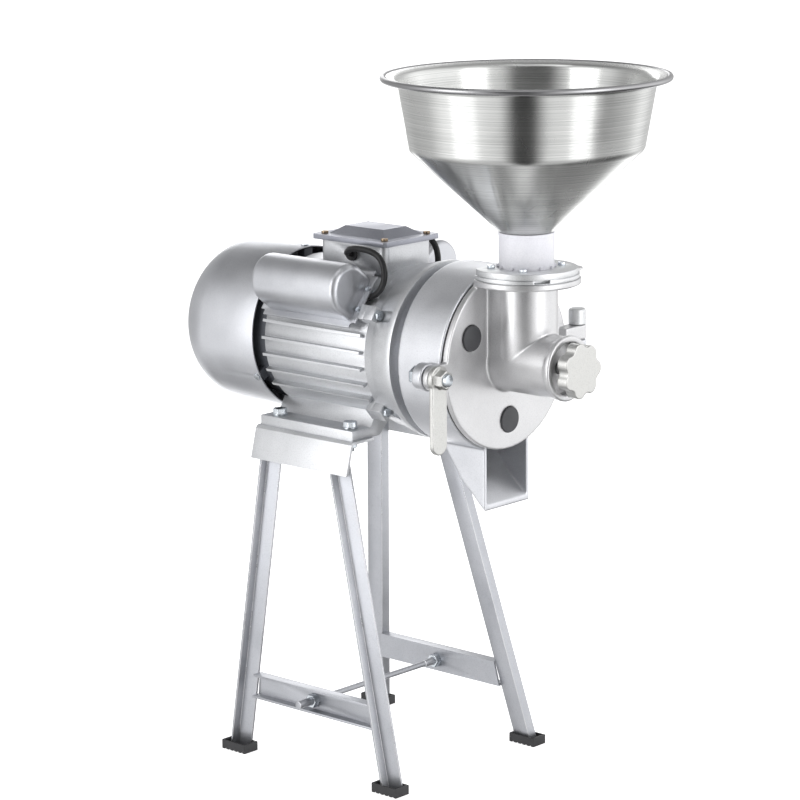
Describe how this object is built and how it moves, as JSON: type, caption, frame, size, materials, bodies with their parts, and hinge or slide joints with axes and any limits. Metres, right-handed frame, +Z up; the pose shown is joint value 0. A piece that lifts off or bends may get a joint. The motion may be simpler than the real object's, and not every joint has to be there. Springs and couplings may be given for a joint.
{
  "type": "electric grain mill",
  "caption": "Direct-drive electric disc mill with spun feed hopper, hinged grinding head, discharge chute and a splayed angle-steel stand.",
  "frame": {"origin": "on the floor, under the middle of the mill's bounding box", "axes": "+X along the motor shaft towards the feed cover and knob, +Z up, +Y towards the cover's hinge side"},
  "size_m": [0.5674, 0.286, 0.727],
  "materials": {
    "silver_paint": "satin silver paint over castings and sheet",
    "cast_mill": "fine-blasted satin casting",
    "stainless_sheet": "spun and brushed stainless sheet",
    "ground_steel": "ground bright steel",
    "zinc_plate": "bright zinc plating",
    "brass_plate": "dulled brass plating",
    "cast_iron": "cast, machined on the working faces",
    "lamination": "stacked laminations",
    "copper_wire": "varnished copper wire",
    "grey_paint": "satin grey paint on steel angle",
    "white_plastic": "smooth white plastic",
    "black_plastic": "moulded black plastic",
    "black_rubber": "soft black rubber"
  },
  "bodies": {
    "base": {"stator_frame": "silver_paint", "stator_core": "lamination", "stator_winding": "copper_wire", "shaft_bearings": "ground_steel", "rear_end_shield": "silver_paint", "front_end_shield": "silver_paint", "end_shield_bolts": "zinc_plate", "fan_cowl": "silver_paint", "cowl_screws": "zinc_plate", "terminal_box": "silver_paint", "lead_grommets": "black_rubber", "cable_gland": "black_plastic", "lid_gasket": "black_rubber", "terminal_box_lid": "silver_paint", "lid_screws": "brass_plate", "terminal_block": "black_plastic", "near_capacitor_cover": "silver_paint", "far_capacitor_cover": "silver_paint", "capacitors": "white_plastic", "capacitor_cover_screws": "zinc_plate", "near_capacitor_lead": "black_rubber", "far_capacitor_lead": "black_rubber", "mill_housing": "cast_mill", "shaft_seal": "black_rubber", "housing_bolts": "zinc_plate", "hinge_pin": "ground_steel", "clamp_bolt": "zinc_plate", "near_rear_leg": "grey_paint", "near_front_leg": "grey_paint", "far_rear_leg": "grey_paint", "far_front_leg": "grey_paint", "foot_brackets": "grey_paint", "cross_rails": "grey_paint", "rubber_feet": "black_rubber", "tie_rod": "grey_paint", "tie_rod_nuts": "zinc_plate", "motor_foot_bolts": "zinc_plate"},
    "rotor": {"motor_shaft": "ground_steel", "rotor_core": "lamination", "cooling_fan": "black_plastic", "disc_carrier": "cast_iron", "rotating_grinding_disc": "cast_iron", "rotating_disc_screws": "ground_steel", "feed_auger": "cast_iron"},
    "cover": {"front_cover": "cast_mill", "cover_plugs": "black_rubber", "cover_gasket": "black_rubber", "fixed_grinding_disc": "cast_iron", "fixed_disc_screws": "ground_steel", "gate_guide": "cast_mill", "gate_top_plate": "cast_mill", "flange_screws": "zinc_plate", "hopper_neck": "white_plastic", "hopper": "stainless_sheet"},
    "gate": {"slide_gate": "stainless_sheet"},
    "clamp": {"clamp_lever": "ground_steel"},
    "adjuster": {"thrust_pin": "ground_steel"},
    "knob": {"star_knob": "cast_mill", "adjusting_spindle": "ground_steel"}
  },
  "joints": [
    {"name": "motor_spin", "type": "hinge", "parent": "base", "child": "rotor", "pos_m": [-0.08475, 0, 0.441], "axis": [1, 0, 0], "continuous": true},
    {"name": "cover_swing", "type": "hinge", "parent": "base", "child": "cover", "pos_m": [0.11825, 0.107, 0.441], "axis": [0, 0, 1], "range_deg": [0, 105]},
    {"name": "clamp_turn", "type": "hinge", "parent": "base", "child": "clamp", "pos_m": [0.11925, -0.108, 0.438], "axis": [1, 0, 0], "range_deg": [-170, 0]},
    {"name": "gate_slide", "type": "slide", "parent": "cover", "child": "gate", "axis": [0, 1, 0], "range_m": [0, 0.058]},
    {"name": "adjuster_travel", "type": "slide", "parent": "cover", "child": "adjuster", "axis": [1, 0, 0], "range_m": [-0.003, 0]},
    {"name": "knob_turn", "type": "hinge", "parent": "adjuster", "child": "knob", "pos_m": [0.20525, 0, 0.441], "axis": [1, 0, 0], "range_deg": [-720, 0]}
  ],
  "couplings": [
    {"joint": "adjuster_travel", "follows": "knob_turn", "m_per_rad": 0.00023873}
  ]
}
